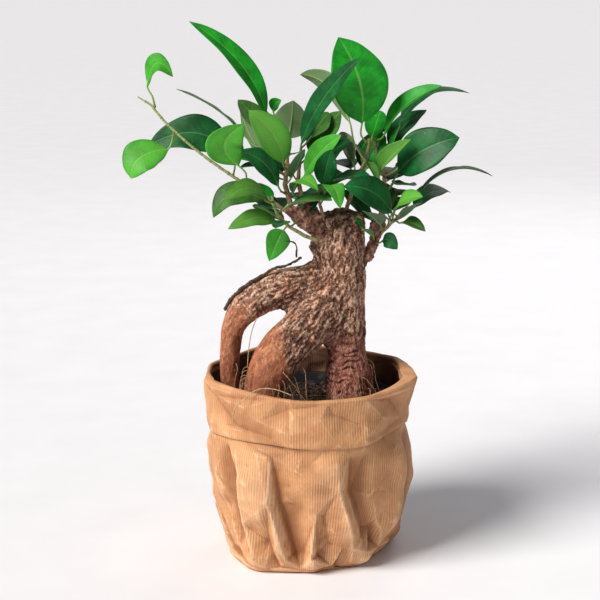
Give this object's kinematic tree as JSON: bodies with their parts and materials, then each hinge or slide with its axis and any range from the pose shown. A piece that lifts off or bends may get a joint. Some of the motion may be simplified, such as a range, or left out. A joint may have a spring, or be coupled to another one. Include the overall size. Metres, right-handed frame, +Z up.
{
  "type": "potted ginseng ficus bonsai",
  "caption": "Small ginseng ficus bonsai with thick arching roots and an open crown of oval leaves, in a black nursery pot inside a crumpled kraft paper bag with a turned-down cuff.",
  "frame": {"origin": "centre of the paper bag's flat base, on the surface it stands on", "axes": "+Z up; -Y is the front, the side where the thick middle root reaches forward; the arching root and the long bare shoot lie towards -X"},
  "size_m": [0.2276, 0.1318, 0.335],
  "materials": {
    "kraft_paper": "matte ribbed kraft",
    "pot_plastic": "black moulded",
    "potting_mix": "loose dark peat",
    "ficus_bark": "rough bark",
    "young_bark": "knobbly bark",
    "brown_shoot": "smooth young bark",
    "green_shoot": "smooth green stem",
    "leaf_bright": "waxy",
    "leaf_deep": "waxy dark",
    "leaf_olive": "waxy, pale underside",
    "dead_root": "dry",
    "root_fibre": "dry"
  },
  "bodies": {
    "root": {"dead_root": "dead_root", "dry_twig": "dead_root", "hanging_fibre": "root_fibre", "leaf_back_left": "leaf_deep", "leaf_back_low": "leaf_olive", "leaf_back_right": "leaf_deep", "leaf_bright_front": "leaf_bright", "leaf_bud_left": "leaf_bright", "leaf_dark_front": "leaf_deep", "leaf_dark_mid": "leaf_deep", "leaf_droop_mid": "leaf_bright", "leaf_dusk_right": "leaf_deep", "leaf_far_right": "leaf_deep", "leaf_fold_right": "leaf_bright", "leaf_front_light": "leaf_bright", "leaf_front_right": "leaf_deep", "leaf_gloss_right": "leaf_deep", "leaf_grey_centre": "leaf_olive", "leaf_grey_high": "leaf_olive", "leaf_grey_left": "leaf_olive", "leaf_grey_mid": "leaf_olive", "leaf_hanging": "leaf_bright", "leaf_high_left": "leaf_bright", "leaf_light_left": "leaf_olive", "leaf_light_right": "leaf_bright", "leaf_long_centre": "leaf_deep", "leaf_long_end": "leaf_bright", "leaf_long_mid": "leaf_deep", "leaf_long_tip": "leaf_bright", "leaf_low_front": "leaf_bright", "leaf_low_left": "leaf_olive", "leaf_low_right": "leaf_olive", "leaf_narrow_right": "leaf_olive", "leaf_olive_left": "leaf_olive", "leaf_olive_mid": "leaf_olive", "leaf_rear_low": "leaf_deep", "leaf_rear_right": "leaf_deep", "leaf_round_left": "leaf_bright", "leaf_round_low": "leaf_deep", "leaf_strip_centre": "leaf_olive", "leaf_tall": "leaf_bright", "leaf_thin_left": "leaf_deep", "leaf_thin_right": "leaf_deep", "leaf_upright_mid": "leaf_bright", "left_stub": "young_bark", "long_shoot": "green_shoot", "nursery_pot": "pot_plastic", "paper_bag": "kraft_paper", "potting_soil": "potting_mix", "right_stub": "young_bark", "rim_fibre": "root_fibre", "shoot_centre": "brown_shoot", "shoot_left_front": "brown_shoot", "shoot_left_rear": "brown_shoot", "shoot_low_left": "green_shoot", "shoot_low_right": "green_shoot", "shoot_right": "brown_shoot", "trunk": "ficus_bark", "twig_trunk_top": "brown_shoot"}
  },
  "joints": []
}
